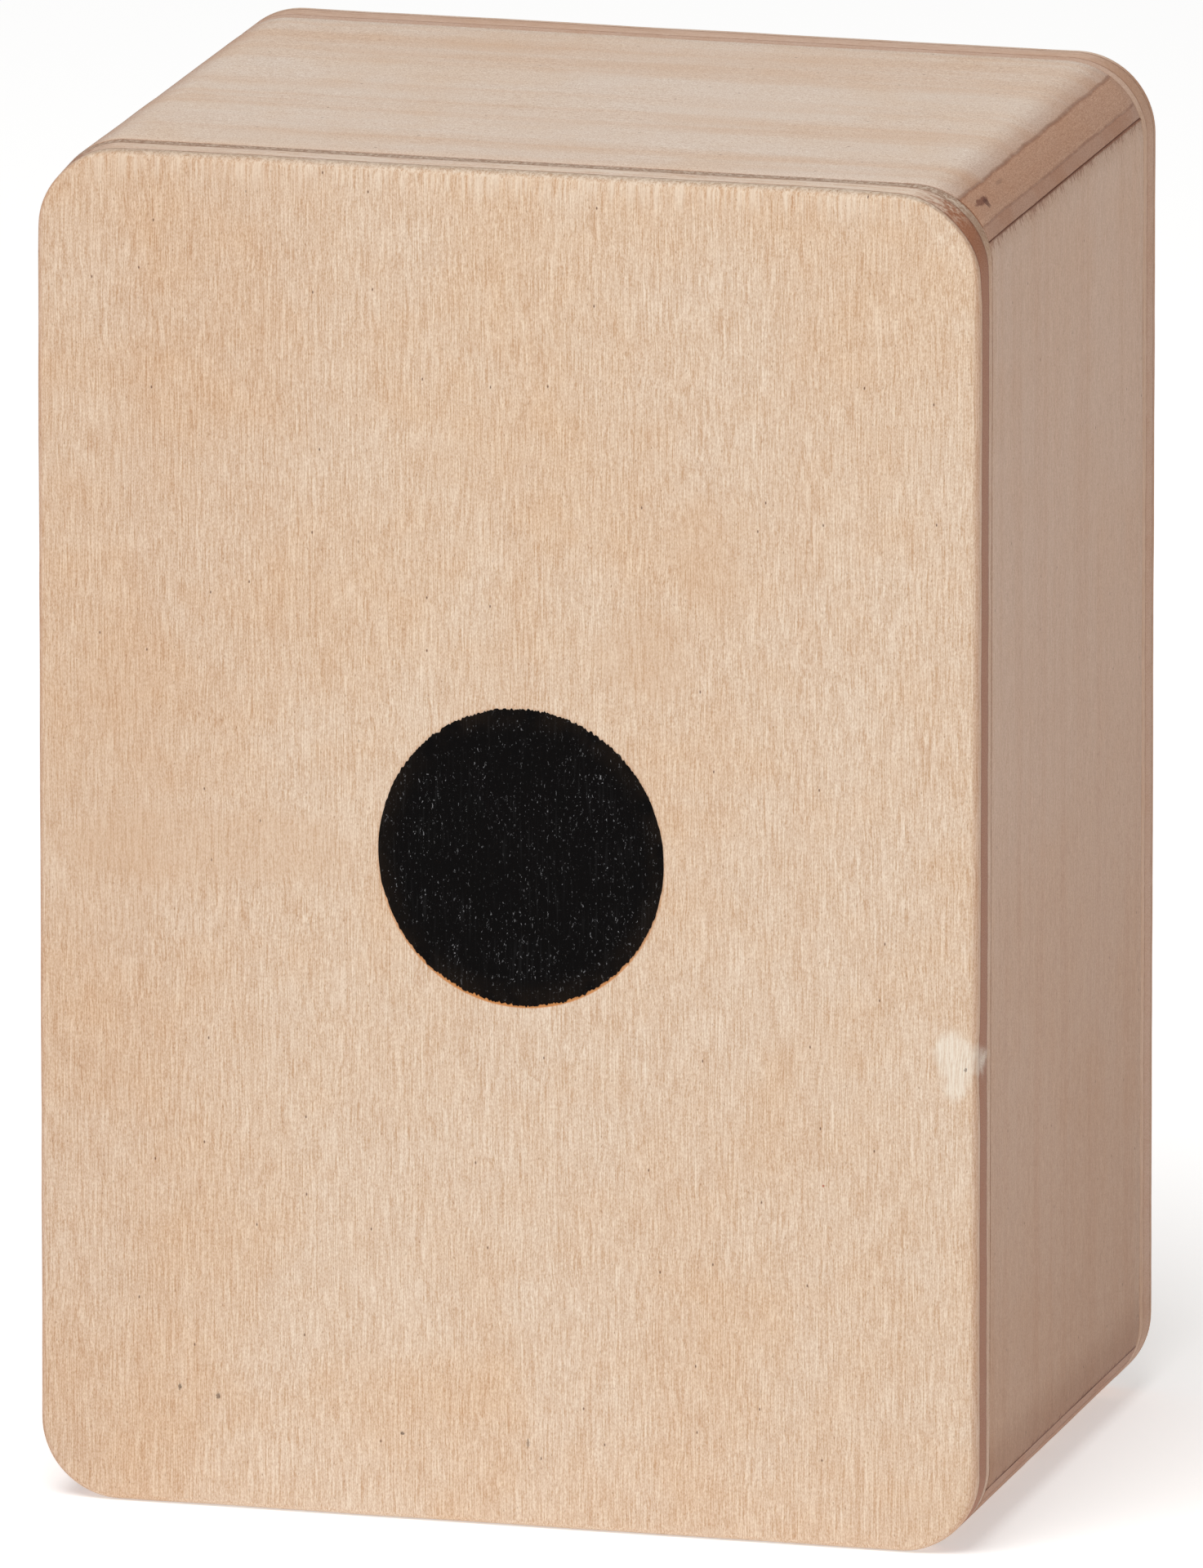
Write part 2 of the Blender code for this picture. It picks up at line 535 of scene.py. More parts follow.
@dataclass(frozen=True)
class BirchPly:
    """Bare sanded birch plywood, with its three plies, their fibres and their glue lines.

    The tints are what the face wood's colour is multiplied by.

    Attributes:
        name: The material's name.
        pale: The colour of the palest face fibres.
        dark: The colour of the darkest.
        warm: The tint of the tanned patches.
        band: The tint of the broad streaks along the grain.
        arris: The tint of the rounded edge that runs along the fibres.
        rim: The tint of the board's sanded edge, behind the outer face ply.
        core: The core ply's tint.
        core_end: The core's tint where its fibres are cut across.
        face_end: The face plies' tint where theirs are.
        outer_cut: How steeply the outer ply is cut where that tint starts, and where it is full.
        patches: How strongly the tanned patches show.
        bands: How strongly the streaks show.
        band_scale: Streaks per millimetre, across the grain.
        streaks: How strongly fibre bundles show.
        threads: How strongly single fibres show.
        fuzz: How strongly the nap shows.
        thread_run: The same as streak_run for the threads. Less is longer.
        nap_run: The same for the nap.
        tufts: How strongly fibre ends stand out along the top edge.
        glue: The tint of the glue lines.
        glue_width: How far from a glue line its tint ends, and where it is full, in millimetres.
        streak_run: What a bundle's length is multiplied by before its noise is read.
        ply_wave: How far the plies wander from their planes, in millimetres.
        pore: The tint of the large pores.
        speck: The tint of the small ones.
        relief: How high the fibres stand.
        tones_and_painted_shade: Slow changes of colour over the board: its own wood tone, and painted
            shade where a board is made darker towards the bottom.
        seed: Moves the pattern, so that no two boards are alike.
    """

    name: str
    pale: Colour
    dark: Colour
    warm: Colour = (0.97, 0.89, 0.80)
    band: Colour = (0.92, 0.84, 0.78)
    arris: Colour = (1.0, 1.0, 1.0)
    rim: Colour = (1.0, 1.0, 1.0)
    core: Colour = (0.80, 0.63, 0.55)
    core_end: Colour = (0.84, 0.68, 0.60)
    face_end: Colour = (0.60, 0.43, 0.36)
    outer_cut: tuple[float, float] = END_CUT
    patches: float = 0.5
    bands: float = 0.3
    band_scale: float = 0.42
    streaks: float = 0.8
    threads: float = 0.8
    fuzz: float = 0.8
    thread_run: float = 0.08
    nap_run: float = 0.45
    tufts: float = 0.0
    glue: Colour = (0.60, 0.44, 0.37)
    glue_width: tuple[float, float] = (0.15, 0.01)
    streak_run: float = 0.035
    ply_wave: float = 0.32
    pore: Colour = (0.18, 0.10, 0.07)
    speck: Colour = (0.5, 0.36, 0.27)
    relief: float = 0.05 * MM
    tones_and_painted_shade: tuple[ToneAndPaintedShade, ...] = ()
    seed: float = 0.0

    def material(self, board: Board, marks: Sequence[Mark] = (), seams: Sequence[Seam] = (),
                 halo: Halo | None = None) -> bpy.types.Material:
        """Make the board's material.

        Args:
            board: Where the board lies.
            marks: Blemishes on its face.
            seams: Glue joints that it ends at.
            halo: The thin orange ring around a print, if it has one.

        Returns:
            The material.
        """
        graph = Graph(self.name)
        place = graph.millimetres()
        depth = self._depth(graph, place, board)
        core = self._core(depth, board)
        wood = graph.vector("ADD", place, tuple(self.seed * part for part in SEED_STEP))
        fibres = self._fibres(graph, wood, core, board)
        colour = self._wood_colour(graph, wood, fibres)
        colour = self._cut_colour(graph, colour, depth, core, board)
        if self.tufts:
            colour = self._tufted(graph, colour, place, fibres)
        lines = self._glue_lines(graph, depth, place, board)
        colour = graph.blend(lines, colour, self.glue, "MULTIPLY")
        colour = self._pored(graph, colour, place, board, depth)
        # Colour ramps: the front's own wood tone, and painted shade on the right side and the bottom.
        for tone in self.tones_and_painted_shade:
            share = graph.along(place, tone.way).step(tone.start / MM, tone.end / MM)
            colour = graph.blend(share, colour, tone.tint, "MULTIPLY")
        for mark in marks:
            colour = self._marked(graph, colour, place, board, mark, fibres)
        if halo:
            colour = halo.tinted(graph, colour, place)
        for seam in seams:
            colour = self._stained(graph, colour, place, fibres, seam)
        height = fibres.streaks * 0.7 + fibres.threads * 0.7 + fibres.fuzz * 0.5 - lines * 0.8
        graph.bumped(height, self.relief, 0.6)
        return graph.finish(colour, 0.66 - fibres.threads * 0.12, Specular_IOR_Level=0.3)

    def _depth(self, graph: Graph, place: bpy.types.NodeSocket, board: Board) -> Value:
        """Return how deep below the board's outer face a place lies, slightly wavy, in mm."""
        wave = graph.clouds(place, PLY_WAVES) - 0.5
        return board.face_at / MM - graph.along(place, board.facing.value) + wave * self.ply_wave

    def _core(self, depth: Value, board: Board) -> Value:
        """Return a mask that is 1 in the core ply."""
        outer, inner = board.outer_ply, board.inner_ply
        return depth.step(outer - 0.1, outer + 0.06) * depth.step(inner + 0.08, inner - 0.06)

    def _squeezed(self, graph: Graph, wood: bpy.types.NodeSocket, core: Value, board: Board,
                  squeeze: float) -> bpy.types.NodeSocket:
        """Return coordinates squeezed along the fibres, so that noise read there draws them.

        Args:
            graph: The material's graph.
            wood: The board's own coordinates, in mm.
            core: The core ply's mask.
            board: Where the board lies.
            squeeze: What lengths along the fibres are multiplied by.

        Returns:
            The squeezed coordinates.
        """
        layers = []
        for way in (board.grain.value, board.core_grain()):
            scale = tuple(1.0 - (1.0 - squeeze) * part for part in way)
            layers.append(graph.vector("MULTIPLY", wood, scale))
        return graph.blend_vectors(core, *layers)

    def _fibres(self, graph: Graph, wood: bpy.types.NodeSocket, core: Value, board: Board) -> Fibres:
        """Draw the grain, from long bundles to the nap.

        Args:
            graph: The material's graph.
            wood: The board's own coordinates, in mm.
            core: The core ply's mask.
            board: Where the board lies.

        Returns:
            The grain's layers.
        """
        drift = graph.clouds(wood, GRAIN_DRIFT) - 0.5
        wandering = graph.vector("ADD", wood, graph.joined(drift * 0.5, drift * 0.7))
        long_place = self._squeezed(graph, wandering, core, board, self.streak_run)
        thread_place = self._squeezed(graph, wandering, core, board, self.thread_run)
        nap_place = self._squeezed(graph, wood, core, board, self.nap_run)
        streaks = graph.clouds(long_place, STREAKS)
        threads = graph.clouds(thread_place, THREADS)
        fuzz = graph.clouds(nap_place, NAP)
        return Fibres(long_place, streaks, threads, fuzz)

    def _wood_colour(self, graph: Graph, wood: bpy.types.NodeSocket,
                     fibres: Fibres) -> bpy.types.NodeSocket:
        """Lay fibres, bands and patches.

        Args:
            graph: The material's graph.
            wood: The board's own coordinates, in mm.
            fibres: The grain's layers.

        Returns:
            The face wood's colour.
        """
        layers = ((fibres.streaks, self.streaks), (fibres.threads, self.threads), (fibres.fuzz, self.fuzz))
        tone = 0.5 + sum((layer - 0.5) * gain for layer, gain in layers)
        colour = graph.blend(tone.clamped(), self.dark, self.pale)
        patches = graph.islands(wood, TAN_PATCHES)
        ripples = graph.islands(wood, RIPPLES)
        bands = graph.islands(fibres.place, Pattern(self.band_scale, 3.0, 0.6, cut=(0.42, 0.7)))
        tan = patches * self.patches + ripples * (self.patches * 0.45)
        colour = graph.blend(tan.clamped(), colour, self.warm, "MULTIPLY")
        return graph.blend(bands * self.bands, colour, self.band, "MULTIPLY")

    def _cut_colour(self, graph: Graph, colour: bpy.types.NodeSocket, depth: Value, core: Value,
                    board: Board) -> bpy.types.NodeSocket:
        """Tint the edge, the core, and the surface where it cuts across a ply's fibres.

        Args:
            graph: The material's graph.
            colour: The wood's colour.
            depth: The depth below the outer face, in mm.
            core: The core ply's mask.
            board: Where the board lies.

        Returns:
            The colour with its end grain.
        """
        normal = graph.normal()
        face_cut = abs(graph.along(normal, board.grain.value))
        side_cut = abs(graph.along(normal, board.core_grain()))
        core_cut = side_cut.step(*END_CUT)
        behind = depth.step(board.outer_ply * 0.8, board.outer_ply * 1.05)
        cut = face_cut.step(*self.outer_cut) * (1.0 - behind) + face_cut.step(*END_CUT) * behind
        colour = graph.blend(side_cut.step(0.15, 0.8) * (1.0 - behind), colour, self.arris, "MULTIPLY")
        colour = graph.blend(behind, colour, self.rim, "MULTIPLY")
        colour = graph.blend(core, colour, self.core, "MULTIPLY")
        colour = graph.blend(cut * (1.0 - core), colour, self.face_end, "MULTIPLY")
        return graph.blend(core_cut * core, colour, self.core_end, "MULTIPLY")

    def _tufted(self, graph: Graph, colour: bpy.types.NodeSocket, place: bpy.types.NodeSocket,
                fibres: Fibres) -> bpy.types.NodeSocket:
        """Lighten and roughen the fibre ends along the board's top edge.

        Args:
            graph: The material's graph.
            colour: The wood's colour.
            place: The board's coordinates, in mm.
            fibres: The grain's layers.

        Returns:
            The colour with its fibre ends.
        """
        top = CAD_BOX[1].z / MM
        ends = graph.along(place, Facing.TOP.value).step(top - 3.0, top - 0.6)
        tufts = graph.clouds(fibres.place, TUFTS)
        colour = graph.blend(ends * tufts.step(0.44, 0.62) * self.tufts, colour, self.pale)
        return graph.blend(ends * tufts.step(0.48, 0.34) * self.tufts, colour, self.band, "MULTIPLY")

    def _glue_lines(self, graph: Graph, depth: Value, place: bpy.types.NodeSocket, board: Board) -> Value:
        """Return a mask of the two glue lines between the plies, broken up along their run."""
        line = abs(depth - board.outer_ply).step(*self.glue_width)
        line = line.largest(abs(depth - board.inner_ply).step(*self.glue_width))
        broken = graph.islands(place, GLUE_GAPS)
        return line * (broken * 0.65 + 0.25)

    def _pored(self, graph: Graph, colour: bpy.types.NodeSocket, place: bpy.types.NodeSocket,
               board: Board, depth: Value) -> bpy.types.NodeSocket:
        """Add the fine dark pores that are scattered over the face.

        Args:
            graph: The material's graph.
            colour: The wood's colour.
            place: The board's coordinates, in mm.
            board: Where the board lies.
            depth: The depth below the outer face, in mm.

        Returns:
            The colour with its pores.
        """
        near = depth.step(0.7, 0.4)
        across = graph.along(place, board.core_grain())
        along = graph.along(place, board.grain.value)
        flat = graph.joined(across + self.seed, along * 0.5)
        pores = graph.dots(flat, 0.24, 0.075, 0.4)
        specks = graph.dots(flat, 1.1, 0.06, 0.3)
        colour = graph.blend(pores * near * 0.85, colour, self.pore, "MULTIPLY")
        return graph.blend(specks * near * 0.5, colour, self.speck, "MULTIPLY")

    def _marked(self, graph: Graph, colour: bpy.types.NodeSocket, place: bpy.types.NodeSocket,
                board: Board, mark: Mark, fibres: Fibres) -> bpy.types.NodeSocket:
        """Add one blemish.

        Args:
            graph: The material's graph.
            colour: The wood's colour.
            place: The board's coordinates, in mm.
            board: Where the board lies.
            mark: The blemish.
            fibres: The grain's layers, which break it up.

        Returns:
            The colour with the blemish on it.
        """
        flat = board.facing in (Facing.TOP, Facing.BOTTOM)
        height_way = Grain.DEEP.value if flat else Grain.UPRIGHT.value
        across = (graph.along(place, Grain.ACROSS.value) - mark.across / MM) / (mark.wide / MM)
        height = (graph.along(place, height_way) - mark.height / MM) / (mark.tall / MM)
        ragged = (graph.clouds(place, Pattern(0.8 * MM / mark.wide, 3.0)) - 0.5) * 1.2
        reach = graph.reach(across, height) + ragged
        broken = fibres.threads.step(0.4, 0.6) * mark.streaky + (1.0 - mark.streaky)
        return graph.blend(reach.step(1.0, 0.55) * broken * mark.strength, colour, mark.colour)

    def _stained(self, graph: Graph, colour: bpy.types.NodeSocket, place: bpy.types.NodeSocket,
                 fibres: Fibres, seam: Seam) -> bpy.types.NodeSocket:
        """Darken the wood along a glue joint.

        Args:
            graph: The material's graph.
            colour: The wood's colour.
            place: The board's coordinates, in mm.
            fibres: The grain's layers.
            seam: The joint.

        Returns:
            The stained colour.
        """
        gap = seam.reach / MM - graph.along(place, seam.way)
        width = seam.width / MM
        wander = (graph.clouds(place, SEAM_WANDER) - 0.5) * width * 2.0
        line = (gap + wander).step(width, width * 0.3)
        colour = graph.blend(line * seam.strength, colour, self.glue, "MULTIPLY")
        if not seam.tear:
            return colour
        torn = graph.islands(fibres.place, TORN_FIBRES) * (seam.tear / MM)
        return graph.blend((gap - torn).step(0.08, -0.05) * 0.85, colour, self.glue, "MULTIPLY")


@dataclass(frozen=True)
class PrintInk:
    """Black printing ink, so thin that the wood's fibres show through it, with painted highlights on their
    raised ends.

    Attributes:
        name: The material's name.
        black: The ink's colour.
        rim: The browner colour towards its edge, where it is thinnest.
        painted_glint: The colour of the painted highlights on the raised fibre ends in it.
    """

    name: str = "print_ink"
    black: Colour = (0.0026, 0.0021, 0.0021)
    rim: Colour = (0.0095, 0.006, 0.004)
    painted_glint: Colour = (0.27, 0.27, 0.28)

    def material(self, centre: Vector, radius: float) -> bpy.types.Material:
        """Make the ink.

        Args:
            centre: The print's middle.
            radius: The print's radius.

        Returns:
            The material.
        """
        graph = Graph(self.name)
        place = graph.millimetres()
        across = graph.along(place, Grain.ACROSS.value) - centre.x / MM
        height = graph.along(place, Grain.UPRIGHT.value) - centre.z / MM
        reach = graph.reach(across, height) / (radius / MM)
        threads = graph.clouds(graph.vector("MULTIPLY", place, (1.0, 1.0, 0.5)), INK_THREADS)
        lines = graph.clouds(graph.vector("MULTIPLY", place, (1.0, 1.0, 0.05)), INK_LINES)
        worn = graph.islands(place, INK_WEAR)
        inside = reach.step(1.0, 0.86) * 0.7 + 0.3
        # Painted highlights: light specks on the raised fibre ends, and a faint sheen along the fibre
        # lines.
        painted_glint_tips = threads.step(0.625, 0.74) * (worn * 0.65 + 0.35) * inside
        painted_glint_tips = painted_glint_tips * (lines.step(0.35, 0.6) * 0.6 + 0.4)
        painted_sheen_lines = lines.step(0.52, 0.7) * worn
        colour = graph.blend(reach.step(0.8, 1.0) * worn, self.black, self.rim)
        colour = graph.blend(painted_sheen_lines * 0.02, colour, self.painted_glint)
        colour = graph.blend(painted_glint_tips, colour, self.painted_glint)
        graph.bumped(threads * 0.7 + lines * 0.4, 0.03 * MM, 0.35)
        return graph.finish(colour, 0.75 - painted_glint_tips * 0.25, Specular_IOR_Level=0.06)


@dataclass(frozen=True)
class SteelShot:
    """Plain steel balls, dulled and a little scratched by rolling on each other.

    Attributes:
        name: The material's name.
        bright: The steel's colour.
        dull: Its colour where a film covers it.
    """

    name: str = "steel_shot"
    bright: Colour = (0.56, 0.57, 0.59)
    dull: Colour = (0.33, 0.33, 0.34)

    def material(self) -> bpy.types.Material:
        """Make the steel."""
        graph = Graph(self.name)
        place = graph.millimetres()
        film = graph.clouds(place, STEEL_FILM)
        scuffs = graph.clouds(graph.vector("MULTIPLY", place, (1.0, 0.25, 1.0)), STEEL_SCUFFS)
        colour = graph.blend(film.step(0.4, 0.7) * 0.7, self.bright, self.dull)
        graph.bumped(scuffs, 0.01 * MM, 0.3)
        return graph.finish(colour, 0.24 + film * 0.2 + scuffs * 0.1, Metallic=1.0)


@dataclass(frozen=True)
class PaleFloor:
    """The studio's plain white table.

    Attributes:
        name: The material's name.
        colour: The paint's colour.
        glow: How strongly it glows.
    """

    name: str = "pale_floor"
    colour: Colour = (0.92, 0.92, 0.92)
    glow: float = 0.40

    def material(self) -> bpy.types.Material:
        """Make the table's paint, which glows a little so that it stays white."""
        return Graph(self.name).finish(self.colour, 0.9, Emission_Color=(1.0, 1.0, 1.0),
                                       Emission_Strength=self.glow, Specular_IOR_Level=0.0)


# Finishes of the six boards. Colours are linear.
FRONT_BIRCH = BirchPly(
    name="front_birch", pale=(0.875, 0.73, 0.585), dark=(0.575, 0.365, 0.225), arris=(0.88, 0.78, 0.74),
    rim=(0.815, 0.71, 0.67), core=(1.39, 1.70, 2.02), core_end=(0.455, 0.247, 0.163),
    face_end=(0.77, 0.80, 0.84), outer_cut=(0.4, 1.2), patches=0.65, bands=0.15, streaks=0.95,
    threads=1.85, fuzz=1.65, thread_run=0.03, tufts=0.6, seed=1.0,
    tones_and_painted_shade=(ToneAndPaintedShade((0.3, 0.0, -0.95), -95 * MM, 0.0, (0.995, 1.005, 1.02)),
           ToneAndPaintedShade((-1.0, 0.0, 0.15), 16 * MM, 36 * MM, (0.96, 0.925, 0.90))))
BACK_BIRCH = BirchPly(
    name="back_birch", pale=(0.87, 0.685, 0.535), dark=(0.59, 0.385, 0.255), arris=(0.70, 0.55, 0.47),
    rim=(0.80, 0.72, 0.69), core=(1.14, 1.21, 1.30), core_end=(0.80, 0.71, 0.65),
    face_end=(1.06, 1.12, 1.22), outer_cut=(0.4, 1.2), patches=0.45, bands=0.55, streaks=1.2, threads=1.4,
    fuzz=0.9, seed=4.0)
TOP_BIRCH = BirchPly(
    name="top_birch", pale=(0.955, 0.83, 0.72), dark=(0.66, 0.495, 0.385), core=(0.66, 0.475, 0.385),
    core_end=(0.85, 0.75, 0.68), outer_cut=(0.08, 0.85), glue=(0.74, 0.62, 0.56), patches=0.5,
    bands=0.8, band=(0.92, 0.80, 0.70), band_scale=0.16, streaks=0.6, threads=1.6, fuzz=2.8,
    thread_run=0.22, nap_run=0.75, seed=2.0)
# The bottom's ramp is painted shade: darker over its lowest 4 mm, where the board turns under.
BOTTOM_BIRCH = BirchPly(
    name="bottom_birch", pale=(0.90, 0.765, 0.64), dark=(0.58, 0.43, 0.33), core=(0.66, 0.475, 0.385),
    core_end=(0.85, 0.75, 0.68), outer_cut=(0.08, 0.85), glue=(0.74, 0.62, 0.56), patches=0.5,
    bands=0.8, band=(0.92, 0.80, 0.70), band_scale=0.16, streaks=0.7, threads=1.6, fuzz=2.4,
    thread_run=0.22, nap_run=0.75, seed=6.0,
    tones_and_painted_shade=(ToneAndPaintedShade((0.0, 0.0, -1.0), -4.5 * MM, -0.5 * MM, (0.78, 0.70, 0.64)),))
# The right side's colours are darker than the left side's: partly its own tone, partly painted shade. Its
# two ramps are painted shade, darker towards the bottom and the back, and darker still near its bottom
# edge.
RIGHT_BIRCH = BirchPly(
    name="right_birch", pale=(0.685, 0.49, 0.372), dark=(0.51, 0.33, 0.235), face_end=(0.84, 0.75, 0.70),
    patches=0.4, bands=0.5, streaks=1.0, threads=1.8, fuzz=2.2, thread_run=0.1, nap_run=0.6, seed=3.0,
    tones_and_painted_shade=(ToneAndPaintedShade((0.0, 0.35, -0.94), -84 * MM, 4 * MM, (0.82, 0.74, 0.67)),
           ToneAndPaintedShade((0.0, 0.0, -1.0), -9 * MM, -4.5 * MM, (0.80, 0.72, 0.66))))
LEFT_BIRCH = BirchPly(
    name="left_birch", pale=(0.80, 0.63, 0.49), dark=(0.575, 0.40, 0.285), face_end=(0.84, 0.75, 0.70),
    patches=0.5, bands=0.5, streaks=1.0, threads=1.3, fuzz=1.2, seed=5.0)


def is_at(edge: bmesh.types.BMEdge, way: Triple, reach: float, slack: float = 1e-6) -> bool:
    """Tell whether an edge lies in a plane.

    Args:
        edge: The edge.
        way: The plane's normal.
        reach: How far the plane is from the origin along it.
        slack: How far off the plane still counts.

    Returns:
        True if both ends lie in the plane.
    """
    return all(abs(vert.co.dot(Vector(way)) - reach) < slack for vert in edge.verts)


def add_piece(name: str, bm: bmesh.types.BMesh, material: bpy.types.Material,
              smooth_angle: float = math.radians(32.0)) -> bpy.types.Object:
    """Turn a bmesh into a shown piece with its faces pointing out.

    Args:
        name: The piece's name.
        bm: The shape, which is freed.
        material: Its material.
        smooth_angle: Edges sharper than this stay sharp.

    Returns:
        The piece's object, which sits at the origin.
    """
    bmesh.ops.remove_doubles(bm, verts=bm.verts, dist=1e-7)
    bmesh.ops.recalc_face_normals(bm, faces=bm.faces)
    mesh = bpy.data.meshes.new(name)
    bm.to_mesh(mesh)
    bm.free()
    mesh.materials.append(material)
    mesh.shade_smooth()
    mesh.set_sharp_from_angle(angle=smooth_angle)
    piece = bpy.data.objects.new(name, mesh)
    bpy.context.scene.collection.objects.link(piece)
    LOG.info("%s: %d faces", name, len(mesh.polygons))
    return piece


@dataclass(frozen=True)
class Dent:
    """A shallow knock in a board's edge.

    Attributes:
        centre: Its middle.
        spread: Its half sizes along X, Y and Z.
        depth: Its depth at the middle.
    """

    centre: Triple
    spread: Triple
    depth: float

    def depth_at(self, point: Vector) -> float:
        """Return how deep the knock is at a point."""
        parts = [(point[axis] - self.centre[axis]) / self.spread[axis] for axis in range(3)]
        return self.depth * math.exp(-sum(part * part for part in parts))


@dataclass
class BoxSizes:
    """The box's main sizes, read from the frame.

    Attributes:
        low: The box's lowest corner.
        high: Its highest corner.
        board: The boards' thickness.
        corner: The radius of its four rounded corners, seen from the front.
        arris: The radius of the sanded edge around front and back.
        seam_gap: The hairline left between glued boards.
    """

    low: Vector = field(default_factory=lambda: CAD_BOX[0].copy())
    high: Vector = field(default_factory=lambda: CAD_BOX[1].copy())
    board: float = 4.0 * MM
    corner: float = 5.8 * MM
    arris: float = 0.6 * MM
    seam_gap: float = 0.006 * MM

    def __post_init__(self) -> None:
        """Read the boards' thickness from the front panel's box."""
        low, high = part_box("front_panel")
        self.board = high.y - low.y

    @property
    def inner_depth(self) -> float:
        """Return how far the four walls reach from the middle, along Y."""
        return self.high.y - self.board - self.seam_gap

    @property
    def glued_planes(self) -> list[tuple[Triple, float]]:
        """Return the two planes where the walls meet front and back."""
        return [(facing.value, self.inner_depth) for facing in (Facing.FRONT, Facing.BACK)]


@dataclass
class PlywoodBox:
    """The six glued boards.

    Attributes:
        sizes: The box's main sizes.
        slice_step: The distance between the cuts that give a board enough points to be uneven.
        unevenness: How far sanding has left a surface off its plane.
        broad_wave: The length of its broad waves.
        fine_wave: The length of its fine waves.
        sanded_off: How much lower than its plane it is on average, in parts of unevenness.
        corner_steps: The steps of the box's rounded corners.
        arris_steps: The steps of the sanded edge.
        sawn_steps: The steps of the smaller edges.
        glued_arris: The radius of the edge that front and back turn to the walls.
        sawn_arris: The radius of the walls' edges.
    """

    sizes: BoxSizes
    slice_step: float = 1.6 * MM
    unevenness: float = 0.03 * MM
    broad_wave: float = 9.0 * MM
    fine_wave: float = 3.0 * MM
    sanded_off: float = 0.7
    corner_steps: int = 20
    arris_steps: int = 6
    sawn_steps: int = 2
    glued_arris: float = 0.1 * MM
    sawn_arris: float = 0.05 * MM

    def block(self, front: float, back: float) -> bmesh.types.BMesh:
        """Make the box's outline between two depths, with its corners rounded.

        Args:
            front: The depth that it starts at, along Y.
            back: The depth that it ends at.

        Returns:
            The block.
        """
        low, high = self.sizes.low, self.sizes.high
        bm = bmesh.new()
        bmesh.ops.create_cube(bm, size=1.0)
        bmesh.ops.scale(bm, vec=(high.x - low.x, back - front, high.z - low.z), verts=bm.verts)
        middle = Vector((0.0, (front + back) / 2, (high.z + low.z) / 2))
        bmesh.ops.translate(bm, vec=middle, verts=bm.verts)
        corners = [edge for edge in bm.edges if abs(edge.verts[0].co.y - edge.verts[1].co.y) > MM]
        bmesh.ops.bevel(bm, geom=corners, offset=self.sizes.corner, offset_type="OFFSET", affect="EDGES",
                        segments=self.corner_steps, profile=0.5, material=-1)
        return bm

    def keep(self, bm: bmesh.types.BMesh, way: Triple, reach: float) -> None:
        """Saw the block along a plane and keep the near side.

        Args:
            bm: The block.
            way: The direction of the side that is sawn off.
            reach: Where the saw goes, along that direction.
        """
        parts = bm.verts[:] + bm.edges[:] + bm.faces[:]
        bmesh.ops.bisect_plane(bm, geom=parts, dist=1e-8, plane_co=Vector(way) * reach, plane_no=way,
                               clear_outer=True)
        bmesh.ops.edgeloop_fill(bm, edges=[edge for edge in bm.edges if edge.is_boundary])

    def soften(self, bm: bmesh.types.BMesh, planes: Iterable[tuple[Triple, float]], radius: float,
               segments: int) -> None:
        """Round the outline of the faces that lie in some planes.

        Args:
            bm: The board.
            planes: Each plane's normal and its distance from the origin.
            radius: The rounding's radius.
            segments: The rounding's steps.
        """
        for way, reach in planes:
            rim = [edge for edge in bm.edges if is_at(edge, way, reach) and len(edge.link_faces) == 2
                   and edge.calc_face_angle(0.0) > math.radians(40.0)]
            bmesh.ops.bevel(bm, geom=rim, offset=radius, offset_type="OFFSET", affect="EDGES",
                            segments=segments, profile=0.5, material=-1, clamp_overlap=True)

    def slice(self, bm: bmesh.types.BMesh, ways: Iterable[Triple]) -> None:
        """Cut a board into a grid, so that its surface has points to move.

        Args:
            bm: The board.
            ways: The directions to step along.
        """
        for way in ways:
            reach = [vert.co.dot(Vector(way)) for vert in bm.verts]
            steps = max(1, round((max(reach) - min(reach)) / self.slice_step))
            for index in range(1, steps):
                plane = min(reach) + (max(reach) - min(reach)) * index / steps
                parts = bm.verts[:] + bm.edges[:] + bm.faces[:]
                bmesh.ops.bisect_plane(bm, geom=parts, dist=1e-6, plane_co=Vector(way) * plane,
                                       plane_no=way)

    def sand(self, bm: bmesh.types.BMesh, seed: float, dents: Sequence[Dent] = ()) -> None:
        """Leave the board as uneven as sanding by hand does.

        Args:
            bm: The board.
            seed: Moves the pattern.
            dents: Knocks and deeper sanding in its edge.
        """
        bm.normal_update()
        offset = Vector(tuple(seed * part for part in SANDING_STEP))
        for vert in bm.verts:
            wave = noise.noise(vert.co / self.broad_wave + offset)
            wave += 0.5 * noise.noise(vert.co / self.fine_wave + offset)
            move = vert.normal * (wave - self.sanded_off) * self.unevenness
            for dent in dents:
                move -= vert.normal * dent.depth_at(vert.co)
            vert.co += move

    def build_face(self, name: str, facing: Facing, finish: BirchPly,
                   marks: Sequence[Mark] = (), halo: Halo | None = None,
                   dents: Sequence[Dent] = ()) -> bpy.types.Object:
        """Build the front or the back, which cover the ends of the four walls.

        Args:
            name: The board's name, which is its CAD node's too.
            facing: FRONT or BACK.
            finish: Its wood.
            marks: Blemishes on its face.
            halo: The ring around a print on it.
            dents: Knocks and deeper sanding in its edge.

        Returns:
            The board.
        """
        outer = self.sizes.high.y
        inner = outer - self.sizes.board
        sign = facing.value[1]
        bm = self.block(*sorted((sign * outer, sign * inner)))
        self.soften(bm, [(facing.value, outer)], self.sizes.arris, self.arris_steps)
        self.soften(bm, [(facing.value, inner)], self.glued_arris, self.sawn_steps)
        self.slice(bm, (Grain.ACROSS.value, Grain.UPRIGHT.value))
        self.sand(bm, finish.seed, dents)
        board = Board(facing, outer, Grain.UPRIGHT, self.sizes.board)
        back_way = tuple(-part for part in facing.value)
        strength = 0.6 if facing is Facing.FRONT else 0.15
        seams = (Seam(back_way, -inner, width=0.2 * MM, strength=strength),)
        return self.placed(name, bm, finish.material(board, marks, seams, halo))

